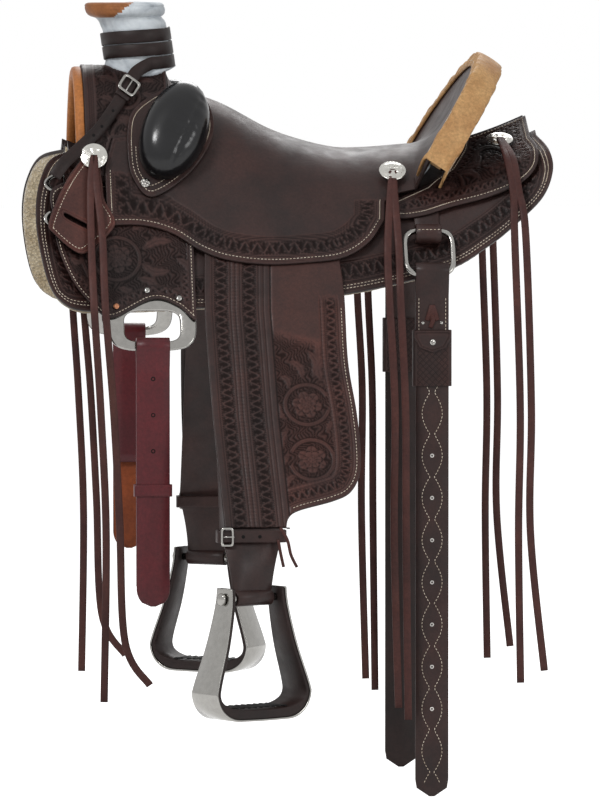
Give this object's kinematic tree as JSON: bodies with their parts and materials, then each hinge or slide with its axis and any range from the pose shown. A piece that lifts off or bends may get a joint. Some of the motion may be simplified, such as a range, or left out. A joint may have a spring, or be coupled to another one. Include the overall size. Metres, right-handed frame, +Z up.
{
  "type": "wade saddle",
  "caption": "Western ranch stock saddle with a slick fork, tall wrapped horn, stuffed bucking rolls, tooled dark leather, metal-bound stirrups and hanging cinch straps.",
  "frame": {"origin": "centre plane of the saddle at the height where the horse's back starts to fall into its sides, above the horse; X 0 lies in the seat, 0.22 m behind the horn", "axes": "+X towards the cantle (the horse's tail), +Y towards the off (right) side, +Z up"},
  "size_m": [0.6986, 0.8974, 1.0618],
  "materials": {
    "leather": "dark chestnut tooled leather, antiqued, satin",
    "string_leather": "dark red-brown latigo thong with silver conchos",
    "latigo_leather": "burgundy latigo leather, oiled",
    "natural_leather": "natural tan leather",
    "rawhide": "pale undyed hide, matt",
    "patent_leather": "glossy black leather",
    "tree_wood": "sealed wood",
    "fleece": "natural sheepskin pile",
    "stainless": "polished stainless steel"
  },
  "bodies": {
    "root": {"breast_dee_left": "stainless", "breast_dee_right": "stainless", "bucking_roll_left": "patent_leather", "bucking_roll_right": "patent_leather", "cantle_back": "leather", "cantle_binding": "natural_leather", "fleece_left": "fleece", "fleece_right": "fleece", "fork_cover": "leather", "ground_seat": "rawhide", "gullet_trim": "natural_leather", "horn": "natural_leather", "horn_buckle": "stainless", "horn_strap": "leather", "horn_wrap": "rawhide", "latigo_holder": "leather", "rear_hanger_left": "leather", "rear_hanger_right": "leather", "rear_jockey_left": "leather", "rear_jockey_right": "leather", "rigging_plate_left": "leather", "rigging_plate_right": "leather", "rigging_ring_left": "stainless", "rigging_ring_right": "stainless", "roll_base_left": "leather", "roll_base_right": "leather", "seat": "leather", "skirt_left": "leather", "skirt_right": "leather", "strap_dee_left": "stainless", "string_front_left": "string_leather", "string_front_right": "string_leather", "string_middle_left": "string_leather", "string_middle_right": "string_leather", "string_rear_left": "string_leather", "string_rear_right": "string_leather", "tree_bar_left": "tree_wood", "tree_bar_right": "tree_wood", "tree_cantle": "tree_wood", "tree_fork": "tree_wood"},
    "fender_left": {"fender_left": "leather", "stirrup_leather_left": "leather", "hobble_strap_left": "leather"},
    "stirrup_left": {"stirrup_left": "stainless", "tread_left": "leather", "stirrup_bolt_left": "stainless"},
    "rear_ring_left": {"rear_ring_left": "stainless"},
    "flank_billet_left": {"flank_billet_left": "leather", "flank_keeper_left": "leather"},
    "fender_right": {"fender_right": "leather", "stirrup_leather_right": "leather", "hobble_strap_right": "leather"},
    "stirrup_right": {"stirrup_right": "stainless", "tread_right": "leather", "stirrup_bolt_right": "stainless"},
    "rear_ring_right": {"rear_ring_right": "stainless"},
    "flank_billet_right": {"flank_billet_right": "leather", "flank_keeper_right": "leather"},
    "latigo": {"latigo": "latigo_leather"},
    "off_billet": {"off_billet": "latigo_leather"}
  },
  "joints": [
    {"name": "fender_swing_left", "type": "hinge", "parent": "root", "child": "fender_left", "pos_m": [-0.0858, -0.17321, -0.04312], "axis": [0, -0.8829, 0.4695], "range_deg": [-5, 18]},
    {"name": "stirrup_pivot_left", "type": "hinge", "parent": "fender_left", "child": "stirrup_left", "pos_m": [-0.097, -0.38283, -0.492], "axis": [0.8387, 0.5446, 0], "range_deg": [-60, 60]},
    {"name": "fender_swing_right", "type": "hinge", "parent": "root", "child": "fender_right", "pos_m": [-0.0858, 0.17321, -0.04312], "axis": [0, -0.8829, -0.4695], "range_deg": [-5, 18]},
    {"name": "stirrup_pivot_right", "type": "hinge", "parent": "fender_right", "child": "stirrup_right", "pos_m": [-0.097, 0.38283, -0.492], "axis": [0.8387, -0.5446, 0], "range_deg": [-60, 60]},
    {"name": "latigo_swing", "type": "hinge", "parent": "root", "child": "latigo", "pos_m": [-0.217, -0.2387, -0.1685], "axis": [-1, 0, 0], "range_deg": [-10, 60]},
    {"name": "off_billet_swing", "type": "hinge", "parent": "root", "child": "off_billet", "pos_m": [-0.217, 0.2387, -0.1685], "axis": [1, 0, 0], "range_deg": [-10, 60]},
    {"name": "rear_ring_swing_left", "type": "hinge", "parent": "root", "child": "rear_ring_left", "pos_m": [0.157, -0.17259, -0.01675], "axis": [-1, 0, 0], "range_deg": [0, 45]},
    {"name": "flank_billet_swing_left", "type": "hinge", "parent": "rear_ring_left", "child": "flank_billet_left", "pos_m": [0.157, -0.20422, -0.07325], "axis": [-1, 0, 0], "range_deg": [-10, 60]},
    {"name": "rear_ring_swing_right", "type": "hinge", "parent": "root", "child": "rear_ring_right", "pos_m": [0.157, 0.17259, -0.01675], "axis": [1, 0, 0], "range_deg": [0, 45]},
    {"name": "flank_billet_swing_right", "type": "hinge", "parent": "rear_ring_right", "child": "flank_billet_right", "pos_m": [0.157, 0.20422, -0.07325], "axis": [1, 0, 0], "range_deg": [-10, 60]}
  ]
}
